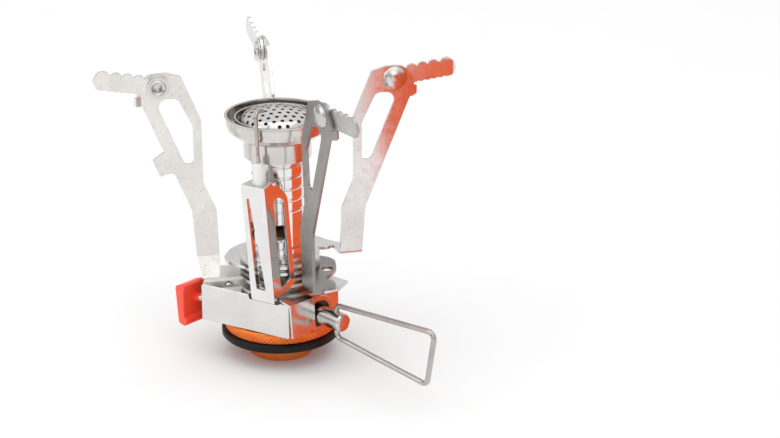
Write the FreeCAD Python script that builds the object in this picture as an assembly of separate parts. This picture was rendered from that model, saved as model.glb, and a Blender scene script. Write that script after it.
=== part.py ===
"""Folding canister stove with piezo ignition, modelled in millimetres.

The origin is the centre of the canister connector's mouth, at the stove's lowest face.
+Z points up along the burner column and +X points out along the valve spindle.
Azimuths are degrees about +Z, counted from +X.
"""
import FreeCAD, Part
import itertools
import math
import os

# ---------------------------------------------------------------- driving dimensions
# canister connector: 7/16-28 UNEF socket in the collar's boss
THREAD_R = 5.1
THREAD_LENGTH = 7.0
SEAL_RECESS_R = 4.2
SEAL_RECESS_TOP = 9.0
BOSS_R = 10.4
NECK_R = 9.8
COLLAR_R = 18.0
RUBBER_R = 19.1
RUBBER_BOTTOM = 6.3
COLLAR_BOTTOM = 9.0
COLLAR_TOP = 12.5

# valve
VALVE_R = 9.0
VALVE_TOP = 24.2
SPINDLE_Z = 18.0
SIDE_BOSS_R = 6.1
SIDE_BOSS_END = 18.6
SPINDLE_R = 3.0
SPINDLE_END = 30.0
NECK_BORE_R = 0.6
CENTRE_POST_R = 7.0
CENTRE_POST_TOP = 35.6
RUNNING_GAP = 0.06

# handle wire
WIRE_R = 0.85
HANDLE_X = 26.4

# igniter box, in its own frame: t along the box, n outwards from the column
BOX_AZIMUTH = 16.0
BOX_FACE = 17.4
BOX_START = -18.7
BOX_END = 14.0
BOX_BOTTOM = 12.9
SHEET = 0.8
DECK_TOP = 25.0

# stack of arm bases
BASE_SHEET = 1.0
BASE_RING_R = 12.8
BASE_PITCH = 2.1
FIRST_BASE = 26.2
STACK_GAP = 0.1

# arms
ARM_OFFSET = 4.0
PIVOT_R = 36.7
PIVOT_Z = 90.5
RIVET_R = 1.8
TIP_SHEET = 1.0
TIP_LENGTH = 20.2

# burner
TUBE_R = 8.4
TUBE_BORE = 6.6
LOWER_CUP_R = 10.7
CUP_R = 16.5
CUP_TOP = 80.1
DOME_R = 11.8
INNER_RING_R = 13.4

# canister connector, further sizes
PIN_HEAD_R = 2.3
PIN_HEAD_TOP = 9.9
FILTER_TOP = 11.2

# valve, further sizes
NEEDLE_BORE_R = 2.55
GLAND_START = 11.6
GLAND_END = 14.6
GLAND_R = 4.4
SEAT_X = 1.5
JET_R = 2.4
JET_BOTTOM = 31.0
O_RING_X = 9.2

# igniter box, further sizes
BOX_BACK = 11.0
FLANGE_X = 19.3

# piezo igniter, further sizes
IGNITER_N = 14.2
IGNITER_Z = 18.9
HOUSING_START = -17.6
HOUSING_END = 4.5
HOUSING_BORE = 1.85
CRYSTAL_START = -2.6
CRYSTAL_END = 2.6
PLUNGER_START = -21.0
PLUNGER_END = -9.0
PLUNGER_WALL = 0.45
BUTTON_OUTER = -26.1
BUTTON_INNER = -22.7
BUTTON_LIP = -21.9
BUTTON_LOW_LIP = -21.7
BUTTON_YAW = -12.0

# electrode, further sizes
CHANNEL_BOTTOM = 23.7
CHANNEL_TOP = 61.6
CHANNEL_WIDTH = 8.6
CHANNEL_LEAN = 3.0
CHANNEL_FLARE = 17.0
CHANNEL_SIDE = 8.8
LEAD_R = 0.8
INSULATOR_R = 2.0
ELECTRODE_R = 0.62
LEAD_T = 6.9
INSULATOR_FOOT_T = 2.8
ELECTRODE_T = 1.9
ELECTRODE_TOP_T = 3.9
OUTSIDE_CUP = CUP_R + 1.1
OVER_RIM = 86.2
STOP_END = 44.3
INSULATOR_BOTTOM = 57.5
INSULATOR_TOP = 68.6

# burner, further sizes
TUBE_BOTTOM = 35.0
TUBE_FLANGE_TOP = 37.8
TUBE_TOP = 68.0
GROOVES = 5
GROOVE_PITCH = 3.75
FIRST_GROOVE = 50.0
AIR_HOLE_Z = 43.0
AIR_HOLE_R = 3.0
FIRST_AIR_HOLE = 50.5
LOWER_CUP_BOTTOM = 66.8
LOWER_CUP_TOP = 73.2
CUP_WALL = 0.7
HOLE_PITCH = 2.7
HOLE_R = 0.62
HOLE_ROW_AZIMUTH = 59.0
CROWN_R = 26.0
KNUCKLE_R = 3.5
DOME_SHEET = 0.5
DOME_BASE = 77.3

# pot arms, further sizes
PLATE_FRONT = -ARM_OFFSET - BASE_SHEET / 2
PLATE_BACK = -ARM_OFFSET + BASE_SHEET / 2
PLATE_INNER = 18.9
PLATE_OUTER = 26.0
BEND_R = 0.5
TIP_FRONT = PLATE_BACK + 0.1
TIP_BACK = TIP_FRONT + TIP_SHEET
LOBE_R = 18.4
WASHER_SHEET = 0.4

UP = FreeCAD.Vector(0, 0, 1)
ORIGIN = FreeCAD.Vector(0, 0, 0)
X_AXIS = FreeCAD.Vector(1, 0, 0)
Y_AXIS = FreeCAD.Vector(0, 1, 0)


# ---------------------------------------------------------------- helpers
def vec(x, y, z):
    return FreeCAD.Vector(x, y, z)


def save(name, *solids):
    """Write one sub-part; a group of equal pieces is several solids in one file."""
    shape = solids[0] if len(solids) == 1 else Part.makeCompound(list(solids))
    os.makedirs("parts", exist_ok=True)
    shape.exportStep("parts/%s.step" % name)


def rounded_wire(corners, place):
    """Closed wire through corners (u, v, radius), each rounded with its own arc.

    place(u, v) gives the point in space.
    """
    count = len(corners)
    spans = []
    for i, (u, v, radius) in enumerate(corners):
        here = vec(u, v, 0)
        before = vec(corners[i - 1][0], corners[i - 1][1], 0) - here
        after = vec(corners[(i + 1) % count][0], corners[(i + 1) % count][1], 0) - here
        before.normalize()
        after.normalize()
        if radius == 0:
            spans.append((here, None, here))
            continue
        half = before.getAngle(after) / 2
        reach = radius / math.tan(half)
        inward = before + after
        inward.normalize()
        middle = here + inward * (radius / math.sin(half) - radius)
        spans.append((here + before * reach, middle, here + after * reach))
    edges = []
    for i, (start, middle, end) in enumerate(spans):
        if middle is not None:
            arc = Part.Arc(place(start.x, start.y), place(middle.x, middle.y), place(end.x, end.y))
            edges.append(arc.toShape())
        following = spans[(i + 1) % count][0]
        if (following - end).Length > 1e-6:
            edges.append(Part.makeLine(place(end.x, end.y), place(following.x, following.y)))
    return Part.Wire(edges)


def flat_sheet(corners, bottom, top):
    """Outline in the XY plane, extruded between two heights."""
    face = Part.Face(rounded_wire(corners, lambda u, v: vec(u, v, bottom)))
    return face.extrude(vec(0, 0, top - bottom))


def upright_sheet(corners, front, back):
    """Outline in the XZ plane, extruded from y = front to y = back."""
    face = Part.Face(rounded_wire(corners, lambda u, v: vec(u, front, v)))
    return face.extrude(vec(0, back - front, 0))


def block(x0, x1, y0, y1, z0, z1):
    return Part.makeBox(x1 - x0, y1 - y0, z1 - z0, vec(x0, y0, z0))


def rod(radius, start, end):
    line = end - start
    return Part.makeCylinder(radius, line.Length, start, line)


def upright(radius, bottom, top, x=0.0, y=0.0):
    return Part.makeCylinder(radius, top - bottom, vec(x, y, bottom), UP)


def washer(outer, inner, bottom, top):
    return upright(outer, bottom, top).cut(upright(inner, bottom - 1, top + 1))


def turned(profile):
    """Solid of revolution about Z from (radius, height) points."""
    points = [vec(r, 0, z) for r, z in profile]
    face = Part.Face(Part.makePolygon(points + [points[0]]))
    return face.revolve(ORIGIN, UP, 360)


def turned_about_x(profile, height):
    """Solid of revolution about the line y = 0, z = height from (x, radius) points."""
    points = [vec(x, 0, height + r) for x, r in profile]
    face = Part.Face(Part.makePolygon(points + [points[0]]))
    return face.revolve(vec(0, 0, height), X_AXIS, 360)


def swung(shape, azimuth):
    """Copy of a shape, rotated about the column."""
    moved = shape.copy()
    moved.rotate(ORIGIN, UP, azimuth)
    return moved


def torus(ring_r, section_r, centre, axis=UP):
    return Part.makeTorus(ring_r, section_r, centre, axis)


# ---------------------------------------------------------------- canister connector
def make_collar():
    body = turned([
        (0, 0), (BOSS_R - 0.4, 0), (BOSS_R, 0.4), (BOSS_R, 4.0), (NECK_R, 4.6),
        (NECK_R, RUBBER_BOTTOM), (13.0, RUBBER_BOTTOM), (13.0, COLLAR_BOTTOM),
        (COLLAR_R - 0.4, COLLAR_BOTTOM), (COLLAR_R, COLLAR_BOTTOM + 0.4),
        (COLLAR_R, COLLAR_TOP - 0.4), (COLLAR_R - 0.4, COLLAR_TOP), (0, COLLAR_TOP),
    ])
    body = body.cut(upright(THREAD_R, -1, THREAD_LENGTH))
    body = body.cut(upright(SEAL_RECESS_R, THREAD_LENGTH - 1, SEAL_RECESS_TOP))
    body = body.cut(upright(6.0, SEAL_RECESS_TOP, COLLAR_TOP + 1))
    save("collar", body)

    bumper = turned([
        (13.0, RUBBER_BOTTOM), (RUBBER_R - 0.5, RUBBER_BOTTOM), (RUBBER_R, RUBBER_BOTTOM + 0.5),
        (RUBBER_R, COLLAR_BOTTOM - 0.5), (RUBBER_R - 0.5, COLLAR_BOTTOM), (13.0, COLLAR_BOTTOM),
    ])
    save("collar_rubber_ring", bumper)
    seal_r = 0.75
    save("canister_seal", torus(SEAL_RECESS_R - seal_r, seal_r, vec(0, 0, SEAL_RECESS_TOP - seal_r)))


def make_inlet():
    head_bottom = SEAL_RECESS_TOP + 0.1
    pin = upright(0.8, THREAD_LENGTH + 0.2, head_bottom).fuse(upright(PIN_HEAD_R, head_bottom, PIN_HEAD_TOP))
    for angle in (0, 120, 240):
        vent = upright(0.45, SEAL_RECESS_TOP, PIN_HEAD_TOP + 1, x=1.55)
        pin = pin.cut(swung(vent, angle))
    save("depressor_pin", pin)
    save("inlet_filter", upright(PIN_HEAD_R, PIN_HEAD_TOP, FILTER_TOP))


# ---------------------------------------------------------------- valve


def make_valve_body():
    body = turned([
        (0, SEAL_RECESS_TOP), (6.0, SEAL_RECESS_TOP), (6.0, COLLAR_TOP), (VALVE_R - 0.4, COLLAR_TOP),
        (VALVE_R, COLLAR_TOP + 0.4), (VALVE_R, VALVE_TOP - 0.4), (VALVE_R - 0.4, VALVE_TOP),
        (CENTRE_POST_R, VALVE_TOP), (CENTRE_POST_R, CENTRE_POST_TOP - 0.3),
        (CENTRE_POST_R - 0.3, CENTRE_POST_TOP), (0, CENTRE_POST_TOP),
    ])
    side_boss = turned_about_x([
        (0, 0), (0, SIDE_BOSS_R - 0.6), (VALVE_R, SIDE_BOSS_R - 0.6), (VALVE_R + 1, SIDE_BOSS_R),
        (SIDE_BOSS_END - 0.4, SIDE_BOSS_R), (SIDE_BOSS_END, SIDE_BOSS_R - 0.4), (SIDE_BOSS_END, 0),
    ], SPINDLE_Z)
    # the boss stands clear of the collar, which is level with its lower side
    side_boss = side_boss.cut(block(-20, 20, -20, 20, 0, COLLAR_TOP))
    body = body.fuse(side_boss)
    body = body.cut(upright(PIN_HEAD_R, SEAL_RECESS_TOP - 1, FILTER_TOP))
    inlet_x = 1.8
    body = body.cut(upright(0.5, FILTER_TOP - 0.5, SPINDLE_Z, x=inlet_x))
    bore = turned_about_x([
        (-0.5, 0), (-0.5, NECK_BORE_R), (SEAT_X, NECK_BORE_R), (SEAT_X + 0.9, NEEDLE_BORE_R),
        (GLAND_START, NEEDLE_BORE_R), (GLAND_START, GLAND_R), (SIDE_BOSS_END + 1, GLAND_R),
        (SIDE_BOSS_END + 1, 0),
    ], SPINDLE_Z)
    body = body.cut(bore)
    body = body.cut(upright(NECK_BORE_R, SPINDLE_Z, CENTRE_POST_TOP, x=-0.4))
    body = body.cut(upright(JET_R, JET_BOTTOM, CENTRE_POST_TOP + 1))
    save("valve_body", body)

    jet = turned([
        (0.3, JET_BOTTOM), (JET_R, JET_BOTTOM), (JET_R, CENTRE_POST_TOP), (3.2, CENTRE_POST_TOP),
        (3.2, CENTRE_POST_TOP + 1.8), (1.6, CENTRE_POST_TOP + 2.4), (0.3, CENTRE_POST_TOP + 2.4),
    ])
    save("gas_jet", jet.cut(upright(1.4, JET_BOTTOM - 1, CENTRE_POST_TOP + 1.2)))

    gland = turned_about_x([
        (GLAND_START, NEEDLE_BORE_R + 0.2), (GLAND_START, GLAND_R), (GLAND_END, GLAND_R),
        (GLAND_END, SPINDLE_R + 0.3), (GLAND_END - 1.2, SPINDLE_R + 0.3),
        (GLAND_END - 1.2, NEEDLE_BORE_R + 0.2),
    ], SPINDLE_Z)
    save("gland_nut", gland)


def make_spindle():
    groove_r = 1.5
    shank_r = NEEDLE_BORE_R - RUNNING_GAP
    spindle = turned_about_x([
        (SEAT_X - 0.4, 0), (SEAT_X + 1.9, 1.2), (SEAT_X + 3.0, 1.2), (SEAT_X + 3.0, shank_r),
        (O_RING_X - 1.0, shank_r), (O_RING_X - 1.0, groove_r),
        (O_RING_X + 1.0, groove_r), (O_RING_X + 1.0, shank_r),
        (GLAND_END - 0.6, shank_r), (GLAND_END + 0.2, SPINDLE_R),
        (SPINDLE_END - 0.9, SPINDLE_R), (SPINDLE_END - 0.3, SPINDLE_R - 0.35),
        (SPINDLE_END - 0.1, SPINDLE_R - 0.9), (SPINDLE_END, 0),
    ], SPINDLE_Z)
    cross_hole = upright(WIRE_R + 0.05, SPINDLE_Z - 10, SPINDLE_Z + 10, x=HANDLE_X)
    save("valve_spindle", spindle.cut(cross_hole))
    ring = torus(2.0, 0.42, vec(O_RING_X, 0, SPINDLE_Z), X_AXIS)
    save("spindle_o_ring", ring)


def wire_along(points, radius, bend):
    """Round wire through points, with a tangent arc of radius bend at each inner point."""
    edges = []
    start = points[0]
    for i in range(1, len(points) - 1):
        here = points[i]
        before = points[i - 1] - here
        after = points[i + 1] - here
        before.normalize()
        after.normalize()
        half = before.getAngle(after) / 2
        reach = bend / math.tan(half)
        inward = before + after
        inward.normalize()
        first = here + before * reach
        last = here + after * reach
        middle = here + inward * (bend / math.sin(half) - bend)
        edges.append(Part.makeLine(start, first))
        edges.append(Part.Arc(first, middle, last).toShape())
        start = last
    edges.append(Part.makeLine(start, points[-1]))
    path = Part.Wire(edges)
    direction = points[1] - points[0]
    section = Part.Wire([Part.makeCircle(radius, points[0], direction)])
    return path.makePipeShell([section], True, False)


def make_handle():
    top_in, top_out = 23.2, 27.2
    low_in, low_out = 12.4, 9.0
    far_top, far_low = 69.6, 66.3
    loop = wire_along([
        vec(HANDLE_X, 0, SPINDLE_Z + 0.5), vec(HANDLE_X, 0, top_in), vec(far_top, 0, top_out),
        vec(far_low, 0, low_out), vec(HANDLE_X, 0, low_in), vec(HANDLE_X, 0, SPINDLE_Z - 0.5),
    ], WIRE_R, 2.2)
    save("handle_wire", loop)


# ---------------------------------------------------------------- igniter box
def in_box_frame(shape):
    """Turn a shape built with x = t and y = -n into the stove's frame."""
    return swung(shape, BOX_AZIMUTH)


def box_point(t, n):
    angle = math.radians(BOX_AZIMUTH)
    return (t * math.cos(angle) + n * math.sin(angle), t * math.sin(angle) - n * math.cos(angle))


def make_bracket():
    # the folded front wall, with a notch where the electrode channel enters
    front = upright_sheet([
        (BOX_START, BOX_BOTTOM, 0.5), (BOX_END, BOX_BOTTOM, 0.5), (BOX_END, DECK_TOP - 0.9, 0.5),
        (10.6, DECK_TOP - 0.9, 0), (10.0, 23.6, 0), (-0.4, 23.6, 0), (-1.0, DECK_TOP - 0.2, 0),
        (BOX_START, DECK_TOP - 0.2, 0.5),
    ], -BOX_FACE, -BOX_FACE + SHEET)
    bottom = block(BOX_START, -8.5, -BOX_FACE + SHEET, -13.4, BOX_BOTTOM, BOX_BOTTOM + SHEET)
    lid = flat_sheet([
        (BOX_START, -BOX_FACE + 0.3, 0.6), (-1.0, -BOX_FACE + 0.3, 0), (-1.0, -15.0, 0),
        (10.6, -15.0, 0), (10.6, -8.0, 0), (BOX_START, -8.0, 0.6),
    ], DECK_TOP - SHEET, DECK_TOP)
    dimple = Part.makeCone(1.6, 0.8, 0.5, vec(-11.5, -12.6, DECK_TOP), UP)
    dimple = dimple.cut(upright(0.5, DECK_TOP - 2, DECK_TOP + 2, x=-11.5, y=-12.6))
    lid = lid.cut(upright(0.5, DECK_TOP - 2, DECK_TOP + 2, x=-11.5, y=-12.6))
    back = upright_sheet([
        (BOX_START, DECK_TOP - 7.0, 0.5), (-9.6, DECK_TOP - 7.0, 0.5), (-9.6, DECK_TOP - 0.2, 0),
        (BOX_START, DECK_TOP - 0.2, 0),
    ], -BOX_BACK, -BOX_BACK + SHEET)
    body = in_box_frame(front.fuse([bottom, lid, dimple, back]))

    # deck over the valve body, clear of the box lid's front cut-out
    deck = flat_sheet([
        (-11.0, -9.5, 3.0), (14.0, -9.0, 0.0), (19.0, 2.0, 0.5), (20.4, 6.8, 0.4), (17.8, 13.2, 0.4),
        (9.0, 12.4, 2.0), (-4.0, 12.6, 5.0), (-12.6, 6.0, 5.0),
    ], DECK_TOP - SHEET, DECK_TOP)
    body = body.fuse(deck)

    # end wall that the valve's side boss passes through
    wall_x = 16.8
    end_wall = block(wall_x, wall_x + SHEET, -7.6, 9.0, 13.2, DECK_TOP - 0.2)
    body = body.fuse(end_wall)
    boss_hole = rod(SIDE_BOSS_R + 0.05, vec(wall_x - 3, 0, SPINDLE_Z), vec(wall_x + 3, 0, SPINDLE_Z))
    body = body.cut(boss_hole)

    # end flange beside the spindle, folded down from a tab of the deck
    flange = Part.makePolygon([
        vec(FLANGE_X, -12.8, 13.5), vec(FLANGE_X, -3.3, 14.1), vec(FLANGE_X, -3.6, DECK_TOP),
        vec(FLANGE_X, -13.7, DECK_TOP), vec(FLANGE_X, -12.8, 13.5),
    ])
    flange = Part.Face(flange).extrude(vec(SHEET, 0, 0))
    tab = flat_sheet([
        (13.7, -12.9, 0.3), (FLANGE_X + SHEET, -13.7, 0), (FLANGE_X + SHEET, -3.6, 0), (12.0, -3.0, 0),
    ], DECK_TOP - SHEET, DECK_TOP)
    body = body.fuse([flange, tab])
    body = body.cut(upright(CENTRE_POST_R, DECK_TOP - 3, DECK_TOP + 3))
    lead_x, lead_y = box_point(LEAD_T + 0.6, IGNITER_N)
    body = body.cut(upright(LEAD_R + 0.5, DECK_TOP - 3, DECK_TOP + 3, x=lead_x, y=lead_y))
    save("igniter_bracket", body.removeSplitter())


# ---------------------------------------------------------------- piezo igniter


def igniter_point(t, z=IGNITER_Z):
    return vec(t, -IGNITER_N, z)


def igniter_rod(radius, start, end):
    return rod(radius, igniter_point(start), igniter_point(end))


def spring(coil_r, wire_r, start, end, turns):
    """Compression spring along the igniter's axis, each turn made of twelve straight chords."""
    per_turn = 12
    count = turns * per_turn
    points = []
    for i in range(count + 1):
        angle = 2 * math.pi * i / per_turn
        points.append(vec((end - start) * i / count, coil_r * math.cos(angle), coil_r * math.sin(angle)))
    section = Part.Wire([Part.makeCircle(wire_r, points[0], points[1] - points[0])])
    mitred = 1
    coil = Part.makePolygon(points).makePipeShell([section], True, False, mitred)
    coil.translate(igniter_point(start))
    return coil


def make_igniter():
    housing = block(HOUSING_START, HOUSING_END, -16.5, -11.9, 14.1, 24.0)
    housing = housing.cut(igniter_rod(HOUSING_BORE, HOUSING_START - 1, CRYSTAL_START))
    housing = housing.cut(igniter_rod(1.4, CRYSTAL_START - 1, HOUSING_END - 0.5))
    housing = housing.cut(igniter_rod(LEAD_R, CRYSTAL_END, HOUSING_END + 1))
    save("igniter_housing", in_box_frame(housing))

    plunger_r = HOUSING_BORE - 0.08
    plunger = igniter_rod(plunger_r, PLUNGER_START, PLUNGER_END)
    plunger = plunger.cut(igniter_rod(plunger_r - PLUNGER_WALL, PLUNGER_START + 1.4, PLUNGER_END + 1))
    save("igniter_plunger", in_box_frame(plunger))

    hammer_r = plunger_r - PLUNGER_WALL - 0.09
    hammer = igniter_rod(hammer_r, PLUNGER_END - 1.4, PLUNGER_END + 1.5)
    nose = igniter_rod(0.7, PLUNGER_END + 1.5, PLUNGER_END + 1.7)
    save("igniter_hammer", in_box_frame(hammer.fuse(nose)))
    save("hammer_spring", in_box_frame(spring(0.98, 0.16, PLUNGER_START + 1.7, PLUNGER_END - 1.7, 8)))
    save("return_spring", in_box_frame(spring(1.55, 0.18, PLUNGER_END + 0.3, CRYSTAL_START - 0.3, 5)))

    anvil = igniter_rod(1.0, CRYSTAL_START - 1.4, CRYSTAL_START)
    save("igniter_anvil", in_box_frame(anvil))
    save("piezo_crystal", in_box_frame(igniter_rod(1.35, CRYSTAL_START, CRYSTAL_END)))


def make_button():
    """Red thumb button: a paddle with a dished inner side and a long lower lip, on a stem."""
    side = [
        (BUTTON_OUTER + 0.9, 10.6, 1.5), (BUTTON_LOW_LIP, 10.2, 1.1), (BUTTON_LOW_LIP + 0.1, 12.4, 0.5),
        (BUTTON_INNER, 13.2, 0.5), (BUTTON_INNER, 21.6, 1.0), (BUTTON_LIP, 23.9, 0.4),
        (BUTTON_INNER - 0.4, 24.5, 0.8), (BUTTON_OUTER - 0.3, 23.3, 1.2),
    ]
    paddle = upright_sheet(side, -20.4, -11.4)
    rounds = [e for e in paddle.Edges if e.BoundBox.YLength < 0.01]
    paddle = paddle.makeFillet(0.35, rounds)
    paddle.rotate(igniter_point(BUTTON_INNER), UP, BUTTON_YAW)
    stem = igniter_rod(HOUSING_BORE - 0.08, BUTTON_INNER - 1.5, PLUNGER_START)
    save("igniter_button", in_box_frame(paddle.fuse(stem)))


# ---------------------------------------------------------------- electrode


def make_channel():
    left, right = 0.3, 0.3 + CHANNEL_WIDTH
    top_left, top_right = left - CHANNEL_LEAN, right - CHANNEL_LEAN
    z0, z1 = CHANNEL_BOTTOM, CHANNEL_TOP
    front = upright_sheet([
        (left, z0, 0.8), (right, z0, 0.3), (top_right, z1, 0.2), (top_left, z1, 0.6),
    ], -BOX_FACE, -BOX_FACE + SHEET)
    slot = upright_sheet([
        (left + 1.9, 27.6, 0.6), (left + 5.4, 27.6, 0.6), (left - 0.1, 57.4, 0.35), (left - 1.0, 57.4, 0.35),
    ], -BOX_FACE - 1, -BOX_FACE + 2)
    front = front.cut(slot)

    lean = math.degrees(math.atan2(CHANNEL_LEAN, z1 - z0))
    side = upright_sheet([
        (0, 0.6, 0), (CHANNEL_SIDE, 4.4, 0.4), (CHANNEL_SIDE, 33.5, 5.0), (3.6, z1 - z0 + 1.6, 0.8),
        (0, z1 - z0, 0),
    ], -SHEET / 2, SHEET / 2)
    opening = upright_sheet([
        (3.0, 4.2, 0.4), (7.1, 6.0, 0.4), (7.1, 33.2, 2.0), (3.0, 34.2, 1.8),
    ], -2, 2)
    side = side.cut(opening)
    right_side = side.copy()
    right_side.rotate(ORIGIN, UP, 90 - CHANNEL_FLARE)
    right_side.rotate(ORIGIN, Y_AXIS, -lean)
    right_side.translate(vec(right - SHEET / 2, -BOX_FACE + SHEET / 2, z0))
    left_side = upright_sheet([
        (0, 0.6, 0), (3.4, 2.2, 0.4), (3.4, z1 - z0 - 1.5, 1.5), (0, z1 - z0, 0),
    ], -SHEET / 2, SHEET / 2)
    left_side.rotate(ORIGIN, UP, 90)
    left_side.rotate(ORIGIN, Y_AXIS, -lean)
    left_side.translate(vec(left + SHEET / 2, -BOX_FACE + SHEET / 2, z0))
    # ears folded in at the top, cut back round the insulator
    left_ear = flat_sheet([
        (top_left, -BOX_FACE, 0.3), (top_left + 4.3, -BOX_FACE, 0), (top_left + 4.3, -16.9, 0),
        (top_left + 0.4, -11.1, 0.2),
    ], z1 - SHEET, z1)
    right_ear = flat_sheet([
        (top_right + 0.3, -15.2, 0), (top_right + 1.4, -13.0, 0), (top_right - 2.8, -10.6, 0.2),
    ], z1 + 0.1, z1 + 0.1 + SHEET)
    channel = front.fuse([right_side, left_side, left_ear, right_ear])
    save("electrode_channel", in_box_frame(channel.removeSplitter()))


def electrode_point(t, z, n=IGNITER_N):
    return vec(t, -n, z)


def make_electrode():
    # lead: out of the housing's end, up through the deck and along the channel
    foot = electrode_point(INSULATOR_FOOT_T, INSULATOR_BOTTOM)
    head = electrode_point(ELECTRODE_T, INSULATOR_TOP)
    along = (head - foot).normalize()
    lead = wire_along([
        electrode_point(HOUSING_END - 0.5, IGNITER_Z), electrode_point(LEAD_T + 0.9, IGNITER_Z),
        electrode_point(LEAD_T + 0.3, 28.0), foot - along * 5.0, foot,
    ], LEAD_R, 2.3)
    save("ignition_lead", in_box_frame(lead))

    # ceramic tube, leaning with the channel, with a tapered end
    taper = 0.8
    insulator = rod(INSULATOR_R, foot, head - along * taper)
    tip = Part.makeCone(INSULATOR_R, INSULATOR_R - 0.6, taper, head - along * taper, along)
    bore = rod(ELECTRODE_R, foot - along, head + along)
    save("ceramic_insulator", in_box_frame(insulator.fuse(tip).cut(bore)))

    # spark rod: out past the cup's rim, then bent in over the dome
    rod_shape = wire_along([
        foot, head + along * 2.6, electrode_point(ELECTRODE_TOP_T, 75.6, OUTSIDE_CUP),
        electrode_point(ELECTRODE_TOP_T - 0.5, OVER_RIM, OUTSIDE_CUP),
        electrode_point(ELECTRODE_TOP_T - 0.9, OVER_RIM - 1.2, DOME_R + 0.8),
    ], ELECTRODE_R, 1.8)
    save("electrode_rod", in_box_frame(rod_shape))


# ---------------------------------------------------------------- stack of arm bases
def base_level(place):
    return FIRST_BASE + BASE_PITCH * place


def make_stack():
    bore = CENTRE_POST_R
    save("lower_washer", washer(10.4, bore, DECK_TOP, FIRST_BASE - STACK_GAP))
    for place, name in enumerate(("spacer_low", "spacer_middle", "spacer_high")):
        bottom = base_level(place) + BASE_SHEET + STACK_GAP
        save(name, washer(10.4, bore, bottom, base_level(place + 1) - STACK_GAP))
    top = base_level(3) + BASE_SHEET + STACK_GAP
    nut = washer(10.6, bore, top, TUBE_BOTTOM - 0.02)
    for angle in range(0, 360, 60):
        notch = block(9.7, 12, -1.2, 1.2, top - 1, TUBE_BOTTOM + 1)
        nut = nut.cut(swung(notch, angle + 15))
    save("retaining_ring", nut)


# ---------------------------------------------------------------- burner


def make_burner():
    profile = [
        (CENTRE_POST_R, TUBE_BOTTOM), (TUBE_R + 0.3, TUBE_BOTTOM),
        (TUBE_R + 0.3, TUBE_FLANGE_TOP - 0.4), (TUBE_R - 0.5, TUBE_FLANGE_TOP - 0.2),
        (TUBE_R - 0.5, TUBE_FLANGE_TOP + 0.2), (TUBE_R, TUBE_FLANGE_TOP + 0.4),
    ]
    for i in range(GROOVES):
        z = FIRST_GROOVE + i * GROOVE_PITCH
        profile += [(TUBE_R, z - 0.5), (TUBE_R - 0.4, z - 0.2), (TUBE_R - 0.4, z + 0.2), (TUBE_R, z + 0.5)]
    profile += [
        (TUBE_R, LOWER_CUP_BOTTOM), (TUBE_R - 0.6, LOWER_CUP_BOTTOM), (TUBE_R - 0.6, TUBE_TOP),
        (TUBE_BORE, TUBE_TOP), (TUBE_BORE, CENTRE_POST_TOP), (CENTRE_POST_R, CENTRE_POST_TOP),
    ]
    tube = turned(profile)
    for i in range(4):
        hole = rod(AIR_HOLE_R, vec(0, 0, AIR_HOLE_Z), vec(20, 0, AIR_HOLE_Z))
        tube = tube.cut(swung(hole, FIRST_AIR_HOLE + 90 * i))
    save("burner_tube", tube)

    neck = TUBE_R - 0.6
    wall = CUP_WALL
    cup = turned([
        (neck, LOWER_CUP_BOTTOM), (LOWER_CUP_R, LOWER_CUP_BOTTOM), (LOWER_CUP_R, LOWER_CUP_TOP - 0.6),
        (LOWER_CUP_R + 0.35, LOWER_CUP_TOP - 0.3), (LOWER_CUP_R, LOWER_CUP_TOP),
        (CUP_R - 2.6, LOWER_CUP_TOP + 1.0), (CUP_R - 0.9, LOWER_CUP_TOP + 2.6),
        (CUP_R - 0.4, LOWER_CUP_TOP + 4.4),
        (CUP_R - 0.3, CUP_TOP - 0.6), (CUP_R, CUP_TOP - 0.3), (CUP_R, CUP_TOP), (CUP_R - 0.9, CUP_TOP),
        (CUP_R - 0.4 - wall, LOWER_CUP_TOP + 4.5), (CUP_R - 0.9 - wall, LOWER_CUP_TOP + 3.0),
        (CUP_R - 2.8, LOWER_CUP_TOP + 1.75), (LOWER_CUP_R - wall, LOWER_CUP_TOP + 0.7),
        (LOWER_CUP_R - wall, LOWER_CUP_BOTTOM + wall), (neck, LOWER_CUP_BOTTOM + wall),
    ])
    save("burner_cup", cup)

    inner_z = LOWER_CUP_TOP + 0.8
    inner = turned([
        (LOWER_CUP_R - wall - 0.5, inner_z - 1.6), (LOWER_CUP_R - wall, inner_z - 1.6),
        (LOWER_CUP_R - wall, inner_z), (INNER_RING_R - 0.4, inner_z + 1.0), (INNER_RING_R, inner_z + 1.5),
        (INNER_RING_R, CUP_TOP - 0.7), (INNER_RING_R - 0.5, CUP_TOP - 0.7),
        (INNER_RING_R - 0.5, inner_z + 1.9), (INNER_RING_R - 0.7, inner_z + 1.6),
        (LOWER_CUP_R - wall - 0.5, inner_z + 0.6),
    ])
    save("burner_inner_ring", inner)


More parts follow.
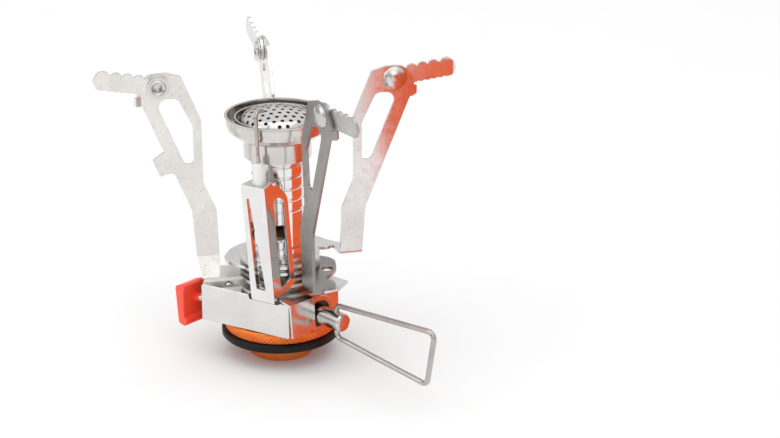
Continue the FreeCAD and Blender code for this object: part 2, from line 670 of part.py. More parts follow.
def make_dome():
    """Perforated dome: a shallow crown, a tight knuckle and a short skirt, of one sheet."""
    knuckle = vec(DOME_R - KNUCKLE_R, 0, DOME_BASE)
    turn = math.asin(knuckle.x / (CROWN_R - KNUCKLE_R))
    crown = vec(0, 0, DOME_BASE - (CROWN_R - KNUCKLE_R) * math.cos(turn))

    def about(centre, radius, angle):
        return centre + vec(math.sin(angle), 0, math.cos(angle)) * radius

    def arc(centre, radius, start, end):
        middle = about(centre, radius, (start + end) / 2)
        return Part.Arc(about(centre, radius, start), middle, about(centre, radius, end)).toShape()

    inset = DOME_SHEET
    skirt_bottom = DOME_BASE - 1.9
    quarter = math.pi / 2
    skirt = [
        about(knuckle, KNUCKLE_R, quarter), vec(DOME_R, 0, skirt_bottom),
        vec(DOME_R - inset, 0, skirt_bottom), about(knuckle, KNUCKLE_R - inset, quarter),
    ]
    outline = [
        arc(crown, CROWN_R, 0, turn), arc(knuckle, KNUCKLE_R, turn, quarter),
        Part.makePolygon(skirt), arc(knuckle, KNUCKLE_R - inset, quarter, turn),
        arc(crown, CROWN_R - inset, turn, 0),
        Part.makeLine(about(crown, CROWN_R - inset, 0), about(crown, CROWN_R, 0)),
    ]
    edges = [edge for piece in outline for edge in piece.Edges]
    dome = Part.Face(Part.Wire(edges)).revolve(ORIGIN, UP, 360)

    # the holes are punched in rows before the sheet is formed, so they are spaced along it
    holes = []
    for i, j in itertools.product(range(-5, 6), repeat=2):
        along = HOLE_PITCH * (i + j / 2)
        across = HOLE_PITCH * j * math.sqrt(3) / 2
        reach = math.hypot(along, across)
        centre, radius, angle = crown, CROWN_R, reach / CROWN_R
        if angle > turn:
            centre, radius, angle = knuckle, KNUCKLE_R, turn + (reach - CROWN_R * turn) / KNUCKLE_R
        if angle > math.radians(62):
            continue
        hole = rod(HOLE_R, about(centre, radius - 1.5, angle), about(centre, radius + 1.0, angle))
        holes.append(swung(hole, HOLE_ROW_AZIMUTH + math.degrees(math.atan2(across, along))))
    save("burner_dome", dome.cut(Part.makeCompound(holes)))
    save("burner_gauze", upright(DOME_R - 0.6, skirt_bottom + 0.3, skirt_bottom + 0.7))


# ---------------------------------------------------------------- pot arms


def arm_plate(bottom, tab):
    """Upright stamping of one arm, radial along +X, with its long slot and pivot hole."""
    outer = [(PLATE_OUTER, bottom, 0), (27.1, 48.7, 6.0)]
    if tab:
        outer += [
            (32.2, 61.3, 0.3), (33.6, 61.8, 0.8), (36.9, 60.9, 0.6), (39.0, 66.4, 0.6), (35.3, 68.9, 0.3),
        ]
    outline = [(PLATE_INNER, bottom, 0)] + outer + [
        (41.5, 84.2, 0.3), (42.9, 84.5, 0.4), (42.9, 89.6, 1.0), (39.6, 94.4, 3.0), (34.0, 94.6, 2.0),
        (29.3, 93.2, 1.0), (23.4, 78.7, 3.0), (23.3, 58.0, 4.0), (19.4, 48.6, 4.0),
    ]
    plate = upright_sheet(outline, PLATE_FRONT, PLATE_BACK)
    slot = upright_sheet([
        (26.0, 64.4, 1.2), (28.9, 64.4, 1.2), (37.7, 86.2, 2.6), (30.6, 86.2, 2.4), (26.0, 76.6, 2.0),
    ], PLATE_FRONT - 1, PLATE_BACK + 1)
    pivot = rod(RIVET_R, vec(PIVOT_R, PLATE_FRONT - 1, PIVOT_Z), vec(PIVOT_R, PLATE_BACK + 1, PIVOT_Z))
    stop = upright_sheet([
        (42.0, 84.6, 0.3), (STOP_END, 84.6, 0.5), (STOP_END, 87.6, 0.5), (42.0, 87.6, 0.3),
    ], -BASE_SHEET / 2, BASE_SHEET / 2)
    stop.rotate(vec(42.0, 0, 0), UP, 38)
    stop.translate(vec(0, -ARM_OFFSET, 0))
    return plate.fuse(stop).cut(slot).cut(pivot)


def bend_quarter(level):
    """Rounded bend from the upright plate into the level base, on the anticlockwise side."""
    axis_y = PLATE_BACK + BEND_R
    axis_z = level + BASE_SHEET + BEND_R
    start = vec(PLATE_INNER, axis_y, axis_z)
    end = vec(PLATE_OUTER, axis_y, axis_z)
    shell = rod(BEND_R + BASE_SHEET, start, end).cut(rod(BEND_R, start, end))
    return shell.common(block(0, 40, PLATE_FRONT - 1, axis_y, level - 1, axis_z))


def base_ring(level):
    return washer(BASE_RING_R, CENTRE_POST_R + RUNNING_GAP, level, level + BASE_SHEET)


def leaned(shape, lean):
    """Copy of a shape, leaned sideways about the arm's radial line at the pivot's height."""
    moved = shape.copy()
    moved.rotate(vec(0, -ARM_OFFSET, PIVOT_Z), X_AXIS, lean)
    return moved


def wide_arm(level, lean, holed=True):
    """Arm whose base is a round lobe that the next arm's plate can pass outside."""
    fold_y = PLATE_BACK + BEND_R + (PIVOT_Z - level) * math.tan(math.radians(lean)) - 0.1
    plate = leaned(arm_plate(level + BASE_SHEET + BEND_R, tab=False).fuse(bend_quarter(level)), lean)
    leg = flat_sheet([
        (PLATE_INNER, fold_y, 0), (PLATE_OUTER, fold_y, 0), (PLATE_OUTER, fold_y + 2.0, 1.0), (16.6, 8.0, 0),
        (4.5, 6.0, 0), (12.0, 2.0, 0), (17.8, 2.6, 0.6),
    ], level, level + BASE_SHEET)
    lobe = flat_sheet([
        (18.0, 1.0, 2.0), (15.6, 12.2, 6.0), (4.0, 18.0, 6.0), (-4.0, 12.0, 1.0), (2.0, 4.0, 0),
    ], level, level + BASE_SHEET)
    lobe = lobe.common(upright(LOBE_R, level - 1, level + 2))
    base = leg.fuse(lobe)
    if holed:
        base = base.cut(upright(1.8, level - 1, level + 2, x=10.6, y=11.4))
    arm = plate.fuse([base, base_ring(level)])
    return arm.cut(upright(CENTRE_POST_R + RUNNING_GAP, level - 1, level + 2)).removeSplitter()


def plain_arm(level, lean):
    return wide_arm(level, lean, holed=False)


def stepped_arm(level, lean):
    """Arm whose plate steps down through a slanted facet to a narrow level strip."""
    facet_top = 33.0
    plate = arm_plate(facet_top, tab=True)
    drop = facet_top - level
    run = drop * 0.72
    thick = BASE_SHEET / math.cos(math.atan2(run, drop))
    section = Part.makePolygon([
        vec(0, PLATE_FRONT, facet_top + 0.3), vec(0, PLATE_BACK, facet_top + 0.3),
        vec(0, PLATE_BACK, facet_top), vec(0, PLATE_BACK + run - thick * 0.3, level + BASE_SHEET),
        vec(0, PLATE_BACK + run + 0.6, level + BASE_SHEET), vec(0, PLATE_BACK + run + 0.6, level),
        vec(0, PLATE_FRONT + run, level), vec(0, PLATE_FRONT, facet_top),
        vec(0, PLATE_FRONT, facet_top + 0.3),
    ])
    facet = Part.Face(section).extrude(vec(60, 0, 0))
    trim = upright_sheet([
        (PLATE_INNER, facet_top + 1, 0), (PLATE_INNER, facet_top, 0), (19.8, level - 1, 0),
        (24.4, level - 1, 0), (PLATE_OUTER, facet_top, 0), (PLATE_OUTER, facet_top + 1, 0),
    ], -20, 20)
    strip = flat_sheet([
        (24.2, -3.4, 0.8), (23.4, 0.2, 1.0), (19.6, 2.0, 2.0), (8.0, 2.0, 0), (8.0, -8.6, 0),
        (20.6, -8.6, 3.0),
    ], level, level + BASE_SHEET)
    plate = leaned(plate.fuse(facet.common(trim)), lean)
    arm = plate.fuse([strip, base_ring(level)])
    return arm.cut(upright(CENTRE_POST_R + RUNNING_GAP, level - 1, level + 2)).removeSplitter()


def make_tip(tilt):
    """Folding toothed tip, along +X from the pivot, then tilted up by its own angle."""
    half = 2.9
    bar = upright_sheet([
        (0, -half, 0), (TIP_LENGTH - 1.6, -half, 1.4), (TIP_LENGTH, -0.4, 1.2), (TIP_LENGTH - 1.0, 2.2, 0.8),
        (0, 2.2, 0),
    ], TIP_FRONT, TIP_BACK)
    parts = [rod(3.8, vec(0, TIP_FRONT, 0), vec(0, TIP_BACK, 0))]
    for u, bump_r in ((6.0, 1.8), (9.5, 1.8), (13.0, 1.8), (17.2, 2.1)):
        parts.append(rod(bump_r, vec(u, TIP_FRONT, 3.2 - bump_r), vec(u, TIP_BACK, 3.2 - bump_r)))
    tip = bar.fuse(parts)
    for i in range(6):
        u = 5.4 + 2.1 * i
        tip = tip.cut(rod(0.55, vec(u, TIP_FRONT - 1, -half - 0.28), vec(u, TIP_BACK + 1, -half - 0.28)))
    tip = tip.cut(rod(RIVET_R + RUNNING_GAP, vec(0, TIP_FRONT - 1, 0), vec(0, TIP_BACK + 1, 0)))
    tip = tip.removeSplitter()
    tip.rotate(ORIGIN, Y_AXIS, -tilt)
    tip.translate(vec(PIVOT_R, 0, PIVOT_Z))
    return tip


def make_rivet():
    """Semi-tubular rivet: domed head outside the plate, flared end over the washer."""
    head_r, head_rise = 3.8, 1.5
    under_head = -0.02
    profile = [
        (0, -head_rise), (1.6, -head_rise * 0.9), (2.8, -head_rise * 0.62), (3.5, -head_rise * 0.3),
        (head_r, under_head), (RIVET_R, under_head),
    ]
    washer_back = TIP_BACK + 0.1 + WASHER_SHEET - PLATE_FRONT
    profile += [
        (RIVET_R, washer_back), (RIVET_R + 0.7, washer_back), (RIVET_R + 0.75, washer_back + 0.4),
        (RIVET_R + 0.4, washer_back + 0.7), (RIVET_R - 0.4, washer_back + 0.3),
        (RIVET_R - 0.6, washer_back - 0.4),
        (RIVET_R - 0.6, washer_back - 1.6), (0, washer_back - 1.6),
    ]
    rivet = turned(profile)
    rivet.rotate(ORIGIN, X_AXIS, -90)
    rivet.translate(vec(PIVOT_R, PLATE_FRONT, PIVOT_Z))
    return rivet


def make_pivot_washer():
    start = vec(PIVOT_R, TIP_BACK + 0.1, PIVOT_Z)
    end = vec(PIVOT_R, TIP_BACK + 0.1 + WASHER_SHEET, PIVOT_Z)
    return rod(3.4, start, end).cut(rod(RIVET_R, start - Y_AXIS, end + Y_AXIS))


# name, azimuth, place in the stack, tip's tilt above level, sideways lean, kind of arm
ARMS = (
    ("left", 238.8, 0, 10.6, 0.0, stepped_arm),
    ("front", -14.2, 1, 3.7, 2.4, wide_arm),
    ("back", 151.0, 2, 9.8, 0.0, plain_arm),
    ("right", 58.3, 3, 7.2, 0.0, wide_arm),
)


def make_arms():
    for name, azimuth, place, tilt, lean, build in ARMS:
        save("arm_" + name, swung(build(base_level(place), lean), azimuth))
        save("tip_" + name, swung(leaned(make_tip(tilt), lean), azimuth))
        save("rivet_" + name, swung(leaned(make_rivet(), lean), azimuth))
        save("washer_" + name, swung(leaned(make_pivot_washer(), lean), azimuth))


# ---------------------------------------------------------------- main
make_collar()
make_inlet()
make_valve_body()
make_spindle()
make_handle()
make_bracket()
make_igniter()
make_button()
make_channel()
make_electrode()
make_stack()
make_burner()
make_dome()
make_arms()
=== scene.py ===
"""Studio scene of a folding canister stove: surfaces, knurled collar, floor, lights and camera."""

import math

import bpy
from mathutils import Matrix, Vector


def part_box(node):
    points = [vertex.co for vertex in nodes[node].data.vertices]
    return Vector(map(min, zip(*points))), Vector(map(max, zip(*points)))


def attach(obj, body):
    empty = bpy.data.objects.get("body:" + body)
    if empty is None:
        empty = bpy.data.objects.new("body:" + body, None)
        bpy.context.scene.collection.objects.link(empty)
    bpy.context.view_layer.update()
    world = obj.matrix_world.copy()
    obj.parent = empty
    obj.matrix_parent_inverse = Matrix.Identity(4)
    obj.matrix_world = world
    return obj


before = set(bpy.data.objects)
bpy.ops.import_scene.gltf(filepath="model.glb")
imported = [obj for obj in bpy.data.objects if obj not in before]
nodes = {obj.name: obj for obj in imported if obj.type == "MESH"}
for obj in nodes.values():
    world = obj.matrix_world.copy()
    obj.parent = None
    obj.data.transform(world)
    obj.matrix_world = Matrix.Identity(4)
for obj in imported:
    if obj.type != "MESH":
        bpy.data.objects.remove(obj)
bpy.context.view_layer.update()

MM = 0.001

# sizes in mm
EDGE_ROUND = 0.14
KNURL_INSET = 0.35
KNURL_PITCH = 1.4
KNURL_RISE = 0.36
KNURL_SINK = 0.02
CARD_TOP = 95
FLAP_HEIGHT = 1.0

KNURL_DIAMONDS = 80
KNURL_STEPS_AROUND = 1200
KNURL_LEVELS = 22

# in metres
FLOOR_HALF = 4.0
FLOOR_DROP = 0.0001

# ---------------------------------------------------------------- camera
scene = bpy.context.scene
camera_data = bpy.data.cameras.new("studio_camera")
camera_data.lens = 101.09
camera_data.sensor_width = 36.0
camera = bpy.data.objects.new("studio_camera", camera_data)
camera.location = (0.4884, -0.4305, 0.2943)
camera.rotation_euler = (math.radians(69.01), 0.0, math.radians(45.5))
scene.collection.objects.link(camera)
scene.camera = camera
scene.view_settings.view_transform = "Standard"

# picture directions on the floor, for placing lights
RIGHT = Vector((0.7009, 0.7133, 0.0))
AWAY = Vector((-0.7133, 0.7009, 0.0))
MIDDLE = Vector((0.0, 0.0, 0.05))


# ---------------------------------------------------------------- node helpers
def start_material(name):
    """New material with its Principled shader; returns (material, node tree, shader)."""
    material = bpy.data.materials.new(name)
    material.use_nodes = True
    tree = material.node_tree
    return material, tree, tree.nodes["Principled BSDF"]


def place_coords(tree, stretch):
    """Object coordinates, stretched so that grain runs one way."""
    coords = tree.nodes.new("ShaderNodeTexCoord")
    mapping = tree.nodes.new("ShaderNodeMapping")
    mapping.inputs["Scale"].default_value = stretch
    tree.links.new(coords.outputs["Object"], mapping.inputs["Vector"])
    return mapping.outputs["Vector"]


def noise(tree, vector, scale, detail=4.0, rough=0.55):
    node = tree.nodes.new("ShaderNodeTexNoise")
    node.inputs["Scale"].default_value = scale
    node.inputs["Detail"].default_value = detail
    node.inputs["Roughness"].default_value = rough
    tree.links.new(vector, node.inputs["Vector"])
    return node.outputs["Fac"]


def spread(tree, value, low, high, to_low, to_high):
    node = tree.nodes.new("ShaderNodeMapRange")
    node.inputs["From Min"].default_value = low
    node.inputs["From Max"].default_value = high
    node.inputs["To Min"].default_value = to_low
    node.inputs["To Max"].default_value = to_high
    tree.links.new(value, node.inputs["Value"])
    return node.outputs["Result"]


def blend_colour(tree, factor, first, second):
    """Mix two colours; each may be a colour or another node's output."""
    node = tree.nodes.new("ShaderNodeMix")
    node.data_type = "RGBA"
    tree.links.new(factor, node.inputs["Factor"])
    for socket, colour in ((node.inputs[6], first), (node.inputs[7], second)):
        if isinstance(colour, tuple):
            socket.default_value = (*colour, 1.0)
        else:
            tree.links.new(colour, socket)
    return node.outputs[2]


def add_bump(tree, shader, heights):
    """Chain of bumps from (value, strength, distance in mm), over slightly rounded edges."""
    bevel = tree.nodes.new("ShaderNodeBevel")
    bevel.samples = 4
    bevel.inputs["Radius"].default_value = EDGE_ROUND * MM
    normal = bevel.outputs["Normal"]
    for value, strength, distance in heights:
        node = tree.nodes.new("ShaderNodeBump")
        node.inputs["Strength"].default_value = strength
        node.inputs["Distance"].default_value = distance * MM
        tree.links.new(value, node.inputs["Height"])
        tree.links.new(normal, node.inputs["Normal"])
        normal = node.outputs["Normal"]
    tree.links.new(normal, shader.inputs["Normal"])


# ---------------------------------------------------------------- finishes
EVEN = (1.0, 1.0, 1.0)
RINGS_ABOUT_Z = (0.15, 0.15, 6.0)
RINGS_ABOUT_X = (6.0, 0.15, 0.15)
GRAIN_UP = (5.0, 5.0, 0.35)
GRAIN_LEVEL = (0.5, 0.5, 5.0)


SPECK_COLOUR = (0.2, 0.18, 0.16)


def metal(name, base, tint, rough, stretch=EVEN, grain=900.0, depth=0.01, specks=0.0, waviness=0.0):
    """Bare or plated metal: grain along the stretch, soft blotches, and small pits or specks."""
    material, tree, shader = start_material(name)
    even = place_coords(tree, EVEN)
    run = place_coords(tree, stretch)
    lines = noise(tree, run, grain, 5.0, 0.6)
    cloud = noise(tree, even, 85.0, 3.0, 0.5)
    colour = blend_colour(tree, spread(tree, cloud, 0.35, 0.65, 0.0, 1.0), base, tint)
    shade = tuple(0.82 * c for c in base)
    colour = blend_colour(tree, spread(tree, lines, 0.50, 0.85, 0.0, 0.6), colour, shade)
    heights = [(lines, 0.35, depth)]
    if specks:
        dots = noise(tree, even, 1500.0, 2.0, 0.5)
        colour = blend_colour(tree, spread(tree, dots, 0.66, 0.72, 0.0, specks), colour, SPECK_COLOUR)
        heights.append((spread(tree, dots, 0.62, 0.74, 1.0, 0.0), 0.3, 0.02))
    if waviness:
        heights.append((noise(tree, run, 60.0, 2.0, 0.5), waviness, 0.4))
    tree.links.new(colour, shader.inputs["Base Color"])
    shader.inputs["Metallic"].default_value = 1.0
    tree.links.new(spread(tree, lines, 0.3, 0.7, rough[0], rough[1]), shader.inputs["Roughness"])
    add_bump(tree, shader, heights)
    return material


def anodised(name, base, tint):
    """Dyed anodised aluminium: metallic under a thin clear oxide, with turning marks."""
    material, tree, shader = start_material(name)
    even = place_coords(tree, EVEN)
    run = place_coords(tree, RINGS_ABOUT_Z)
    lines = noise(tree, run, 1100.0, 4.0, 0.6)
    cloud = noise(tree, even, 140.0, 3.0, 0.5)
    colour = blend_colour(tree, spread(tree, cloud, 0.35, 0.7, 0.0, 1.0), base, tint)
    tree.links.new(colour, shader.inputs["Base Color"])
    shader.inputs["Metallic"].default_value = 0.75
    shader.inputs["Coat Weight"].default_value = 0.3
    shader.inputs["Coat Roughness"].default_value = 0.15
    tree.links.new(spread(tree, lines, 0.3, 0.7, 0.24, 0.38), shader.inputs["Roughness"])
    add_bump(tree, shader, [(lines, 0.3, 0.02), (noise(tree, even, 2200.0), 0.15, 0.01)])
    return material


def moulded(name, base, tint, rough, coat=0.0, glow=0.0, gloss=0.5):
    """Moulded plastic, rubber or glaze: fine texture, faint mottling and scuffs."""
    material, tree, shader = start_material(name)
    even = place_coords(tree, EVEN)
    cloud = noise(tree, even, 120.0, 4.0, 0.6)
    grit = noise(tree, even, 1800.0, 3.0, 0.6)
    scuffs = noise(tree, place_coords(tree, (1.0, 4.0, 1.5)), 260.0, 6.0, 0.7)
    colour = blend_colour(tree, spread(tree, cloud, 0.35, 0.7, 0.0, 1.0), base, tint)
    tree.links.new(colour, shader.inputs["Base Color"])
    tree.links.new(spread(tree, scuffs, 0.35, 0.75, rough[0], rough[1]), shader.inputs["Roughness"])
    shader.inputs["Coat Weight"].default_value = coat
    shader.inputs["Coat Roughness"].default_value = 0.2
    shader.inputs["Specular IOR Level"].default_value = gloss
    shader.inputs["Subsurface Weight"].default_value = glow
    shader.inputs["Subsurface Scale"].default_value = 0.001
    add_bump(tree, shader, [(grit, 0.25, 0.02), (scuffs, 0.08, 0.03)])
    return material


FINISHES = {
    "anodised_orange": anodised("anodised_orange", (0.82, 0.155, 0.02), (0.90, 0.23, 0.03)),
    "rubber_black": moulded(
        "rubber_black", (0.004, 0.004, 0.004), (0.010, 0.009, 0.009), (0.4, 0.65), gloss=0.2
    ),
    "red_button": moulded("red_button", (0.95, 0.055, 0.025), (1.0, 0.08, 0.035), (0.28, 0.42), 0.3, 0.15),
    "dark_plastic": moulded("dark_plastic", (0.02, 0.02, 0.02), (0.03, 0.03, 0.03), (0.4, 0.6)),
    "white_ceramic": moulded(
        "white_ceramic", (0.86, 0.86, 0.84), (0.80, 0.79, 0.76), (0.15, 0.3), 0.6, 0.1
    ),
    "lead_jacket": moulded("lead_jacket", (0.78, 0.76, 0.70), (0.70, 0.68, 0.62), (0.45, 0.6)),
    "turned_brass": metal(
        "turned_brass", (0.80, 0.60, 0.28), (0.72, 0.52, 0.24), (0.22, 0.36), RINGS_ABOUT_Z
    ),
    "dark_brass": metal("dark_brass", (0.20, 0.13, 0.07), (0.14, 0.09, 0.05), (0.25, 0.4), RINGS_ABOUT_Z),
    "sintered_bronze": metal(
        "sintered_bronze", (0.50, 0.38, 0.22), (0.42, 0.30, 0.18), (0.5, 0.7), specks=0.8
    ),
    "valve_metal": metal(
        "valve_metal", (0.66, 0.65, 0.64), (0.56, 0.55, 0.54), (0.16, 0.30), RINGS_ABOUT_X
    ),
    "nut_metal": metal("nut_metal", (0.60, 0.59, 0.58), (0.50, 0.49, 0.48), (0.18, 0.32), RINGS_ABOUT_Z),
    "spindle_metal": metal(
        "spindle_metal", (0.68, 0.66, 0.64), (0.58, 0.56, 0.54), (0.12, 0.24), RINGS_ABOUT_X, specks=0.3
    ),
    "wire_steel": metal(
        "wire_steel", (0.52, 0.50, 0.48), (0.44, 0.42, 0.40), (0.14, 0.26), (0.3, 3.0, 3.0), specks=0.3
    ),
    "box_steel": metal(
        "box_steel", (0.78, 0.77, 0.75), (0.70, 0.69, 0.67), (0.12, 0.22), (0.4, 0.4, 4.0), 700.0, 0.006
    ),
    "channel_steel": metal(
        "channel_steel", (0.84, 0.83, 0.82), (0.76, 0.75, 0.74), (0.08, 0.18), GRAIN_UP, 600.0, 0.005
    ),
    "arm_matte": metal(
        "arm_matte", (0.82, 0.80, 0.77), (0.74, 0.72, 0.69), (0.30, 0.46), EVEN, 500.0, 0.02, 0.5
    ),
    # painted shade: the next two finishes are the arm steel made darker for the front arm and its tip, the
    # plate that faces the camera
    "tip_painted_shade": metal(
        "tip_painted_shade", (0.58, 0.57, 0.55), (0.46, 0.45, 0.44), (0.24, 0.38), EVEN, 500.0, 0.02, 0.6
    ),
    "arm_painted_shade": metal(
        "arm_painted_shade", (0.36, 0.35, 0.34), (0.30, 0.29, 0.28), (0.24, 0.38), GRAIN_UP, 500.0, 0.015, 0.5
    ),
    "arm_bright": metal(
        "arm_bright", (0.80, 0.79, 0.78), (0.70, 0.69, 0.68), (0.16, 0.30), EVEN, 500.0, 0.015, 0.35
    ),
    "rivet_metal": metal(
        "rivet_metal", (0.70, 0.69, 0.67), (0.56, 0.55, 0.53), (0.16, 0.30), EVEN, 900.0, 0.01, 0.5
    ),
    "washer_metal": metal(
        "washer_metal", (0.70, 0.69, 0.68), (0.60, 0.59, 0.58), (0.18, 0.30), EVEN, 1100.0
    ),
    "tube_chrome": metal(
        "tube_chrome", (0.84, 0.84, 0.84), (0.76, 0.76, 0.76), (0.06, 0.14), RINGS_ABOUT_Z, 500.0, 0.01,
        waviness=0.25
    ),
    "cup_steel": metal(
        "cup_steel", (0.70, 0.68, 0.65), (0.60, 0.58, 0.55), (0.14, 0.26), RINGS_ABOUT_Z, 600.0, 0.012, 0.3
    ),
    "dome_steel": metal(
        "dome_steel", (0.72, 0.71, 0.70), (0.62, 0.61, 0.60), (0.14, 0.26), EVEN, 700.0, 0.01, 0.3
    ),
    "gauze_steel": metal(
        "gauze_steel", (0.16, 0.15, 0.14), (0.10, 0.10, 0.10), (0.4, 0.6), EVEN, 1400.0, 0.05
    ),
    "spring_steel": metal("spring_steel", (0.45, 0.45, 0.45), (0.38, 0.38, 0.38), (0.2, 0.35), EVEN, 900.0),
}

NODE_FINISH = {
    "collar": "anodised_orange", "collar_rubber_ring": "rubber_black", "canister_seal": "rubber_black",
    "depressor_pin": "turned_brass", "inlet_filter": "sintered_bronze", "valve_body": "valve_metal",
    "gas_jet": "dark_brass", "gland_nut": "dark_brass", "valve_spindle": "spindle_metal",
    "spindle_o_ring": "rubber_black", "handle_wire": "wire_steel", "igniter_bracket": "box_steel",
    "igniter_housing": "dark_plastic", "igniter_button": "red_button", "igniter_plunger": "spindle_metal",
    "igniter_hammer": "spindle_metal", "igniter_anvil": "turned_brass", "piezo_crystal": "white_ceramic",
    "hammer_spring": "spring_steel", "return_spring": "spring_steel", "electrode_channel": "channel_steel",
    "ceramic_insulator": "white_ceramic", "electrode_rod": "wire_steel", "ignition_lead": "lead_jacket",
    "lower_washer": "washer_metal", "spacer_low": "washer_metal", "spacer_middle": "washer_metal",
    "spacer_high": "washer_metal", "retaining_ring": "nut_metal", "burner_tube": "tube_chrome",
    "burner_cup": "cup_steel", "burner_inner_ring": "cup_steel", "burner_dome": "dome_steel",
    "burner_gauze": "gauze_steel",
    # the front arm and front tip take the darker copies of the arm steel: painted shade, not a different
    # metal
    "arm_left": "arm_matte", "arm_front": "arm_painted_shade", "arm_back": "arm_bright", "arm_right": "arm_bright",
    "tip_left": "arm_matte", "tip_front": "tip_painted_shade", "tip_back": "arm_bright", "tip_right": "arm_matte",
}
for side in ("left", "front", "back", "right"):
    NODE_FINISH["rivet_" + side] = "rivet_metal"
    NODE_FINISH["washer_" + side] = "washer_metal"

for name, obj in nodes.items():
    obj.data.materials.clear()
    obj.data.materials.append(FINISHES[NODE_FINISH[name]])


# ---------------------------------------------------------------- knurled rim
def mesh_object(name, points, faces, finish, body):
    """Flat-shaded piece that rides on a body of the stove."""
    mesh = bpy.data.meshes.new(name)
    mesh.from_pydata(points, [], faces)
    mesh.update()
    for polygon in mesh.polygons:
        polygon.use_smooth = False
    mesh.materials.append(FINISHES[finish])
    obj = bpy.data.objects.new(name, mesh)
    scene.collection.objects.link(obj)
    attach(obj, body)


def saw(value):
    """Triangle wave from 0 to 1 and back."""
    part = value % 1.0
    return 1.0 - abs(2.0 * part - 1.0)


def make_knurl():
    """Diamond knurling round the collar's rim, as a thin band of raised pyramids."""
    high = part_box("collar")[1]
    radius = high[0]
    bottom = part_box("collar_rubber_ring")[1][2] + KNURL_INSET * MM
    top = high[2] - KNURL_INSET * MM
    around = KNURL_STEPS_AROUND
    levels = KNURL_LEVELS
    pitch = KNURL_PITCH * MM
    points = []
    for j in range(levels + 1):
        z = bottom + (top - bottom) * j / levels
        fade = min(1.0, 4.0 * min(j, levels - j) / levels)
        for i in range(around):
            turn = i / around
            ridge = min(saw(turn * KNURL_DIAMONDS + z / pitch), saw(turn * KNURL_DIAMONDS - z / pitch))
            r = radius + (KNURL_RISE * ridge * fade - KNURL_SINK) * MM
            points.append((r * math.cos(2 * math.pi * turn), r * math.sin(2 * math.pi * turn), z))
    faces = []
    for j in range(levels):
        for i in range(around):
            k = (i + 1) % around
            faces.append((j * around + i, j * around + k, (j + 1) * around + k, (j + 1) * around + i))
    mesh_object("collar_knurl", points, faces, "anodised_orange", "stove_base")


make_knurl()


# ---------------------------------------------------------------- floor
def make_floor():
    """Pale matt floor, just under the surface that the stove stands on."""
    corners = [(x * FLOOR_HALF, y * FLOOR_HALF, 0) for x, y in ((-1, -1), (1, -1), (1, 1), (-1, 1))]
    mesh = bpy.data.meshes.new("studio_floor")
    mesh.from_pydata(corners, [], [(0, 1, 2, 3)])
    material, tree, shader = start_material("studio_floor")
    even = place_coords(tree, EVEN)
    cloud = noise(tree, even, 6.0)
    colour = blend_colour(tree, cloud, (0.90, 0.90, 0.90), (0.93, 0.93, 0.93))
    tree.links.new(colour, shader.inputs["Base Color"])
    tree.links.new(spread(tree, cloud, 0.3, 0.7, 0.60, 0.70), shader.inputs["Roughness"])
    shader.inputs["Specular IOR Level"].default_value = 0.0
    add_bump(tree, shader, [(noise(tree, even, 900.0), 0.02, 0.02)])
    mesh.materials.append(material)
    floor = bpy.data.objects.new("studio_floor", mesh)
    floor.location.z = -FLOOR_DROP
    scene.collection.objects.link(floor)


make_floor()


# ---------------------------------------------------------------- light
def softbox(name, place, size, power):
    """Square area light of the given side in metres, aimed at the stove's middle."""
    light = bpy.data.lights.new(name, "AREA")
    light.shape = "RECTANGLE"
    light.size = size
    light.size_y = size
    light.energy = power
    obj = bpy.data.objects.new(name, light)
    obj.location = place
    obj.rotation_euler = (MIDDLE - place).to_track_quat("-Z", "Y").to_euler()
    obj.visible_camera = False
    scene.collection.objects.link(obj)


softbox("top_softbox", Vector((0.0, 0.0, 1.6)) - 0.3 * AWAY, 2.2, 9.0)
softbox("left_softbox", -0.9 * RIGHT - 0.3 * AWAY + Vector((0, 0, 0.5)), 0.7, 1.6)
softbox("front_softbox", 0.35 * RIGHT - 1.1 * AWAY + Vector((0, 0, 0.5)), 0.6, 1.0)


def warm_card_finish():
    """Evenly glowing orange with faint pebbling; it has no shading of its own."""
    material, tree, shader = start_material("warm_card")
    pebbles = noise(tree, place_coords(tree, EVEN), 260.0, 3.0, 0.6)
    pebbling = spread(tree, pebbles, 0.35, 0.65, 0.0, 1.0)
    colour = blend_colour(tree, pebbling, (1.0, 0.12, 0.035), (0.92, 0.16, 0.05))
    shader.inputs["Base Color"].default_value = (0.0, 0.0, 0.0, 1.0)
    shader.inputs["Specular IOR Level"].default_value = 0.0
    tree.links.new(colour, shader.inputs["Emission Color"])
    shader.inputs["Emission Strength"].default_value = 0.95
    return material


# each panel has two edges: right and away from the column, and the lower edge there, in mm
CARD_PANELS = (
    ((80, 46, 0), (45, -6, 0)),
    ((45, -6, 0), (49.7, -30, 0)),
    ((49.7, -30, 50), (54, -52, 66)),
)
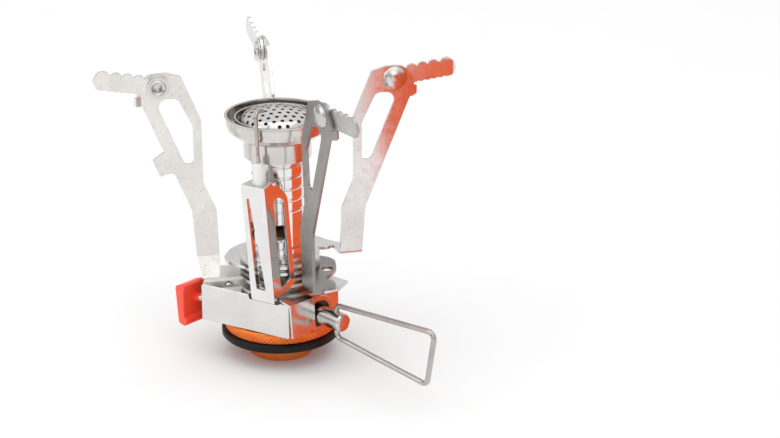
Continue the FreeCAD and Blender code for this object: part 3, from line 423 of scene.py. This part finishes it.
# corners of the flap: right and away from the column, in mm
CARD_FLAP = ((22, -4), (45, -6), (49.7, -28), (22, -28))


def make_warm_card():
    """Bent bounce card on the stove's right, with a flap at its foot, seen only in reflections."""
    points = []
    faces = []
    for panel in CARD_PANELS:
        k = len(points)
        for right, away, low in panel:
            foot = right * RIGHT + away * AWAY
            points += [(foot + Vector((0, 0, low))) * MM, (foot + Vector((0, 0, CARD_TOP))) * MM]
        faces.append((k, k + 2, k + 3, k + 1))
    k = len(points)
    for right, away in CARD_FLAP:
        points.append((right * RIGHT + away * AWAY + Vector((0, 0, FLAP_HEIGHT))) * MM)
    faces.append((k, k + 1, k + 2, k + 3))
    mesh = bpy.data.meshes.new("warm_card")
    mesh.from_pydata([tuple(point) for point in points], [], faces)
    mesh.materials.append(warm_card_finish())
    card = bpy.data.objects.new("warm_card", mesh)
    scene.collection.objects.link(card)
    for kind in ("camera", "diffuse", "shadow", "transmission"):
        setattr(card, "visible_" + kind, False)


make_warm_card()


def make_world():
    """Pale room: light above, a dimmer band at the horizon that polished metal picks up."""
    world = bpy.data.worlds.new("studio_world")
    scene.world = world
    world.use_nodes = True
    tree = world.node_tree
    background = tree.nodes["Background"]
    coords = tree.nodes.new("ShaderNodeTexCoord")
    split = tree.nodes.new("ShaderNodeSeparateXYZ")
    ramp = tree.nodes.new("ShaderNodeValToRGB")
    tree.links.new(coords.outputs["Generated"], split.inputs["Vector"])
    tree.links.new(split.outputs["Z"], ramp.inputs["Fac"])
    stops = ((0.0, 0.50), (0.12, 0.42), (0.3, 0.85), (0.6, 1.0))
    ramp.color_ramp.elements[0].position = stops[0][0]
    ramp.color_ramp.elements[0].color = (stops[0][1],) * 3 + (1.0,)
    ramp.color_ramp.elements[1].position = stops[-1][0]
    ramp.color_ramp.elements[1].color = (stops[-1][1],) * 3 + (1.0,)
    for position, value in stops[1:-1]:
        element = ramp.color_ramp.elements.new(position)
        element.color = (value,) * 3 + (1.0,)
    tree.links.new(ramp.outputs["Color"], background.inputs["Color"])
    background.inputs["Strength"].default_value = 0.9


make_world()
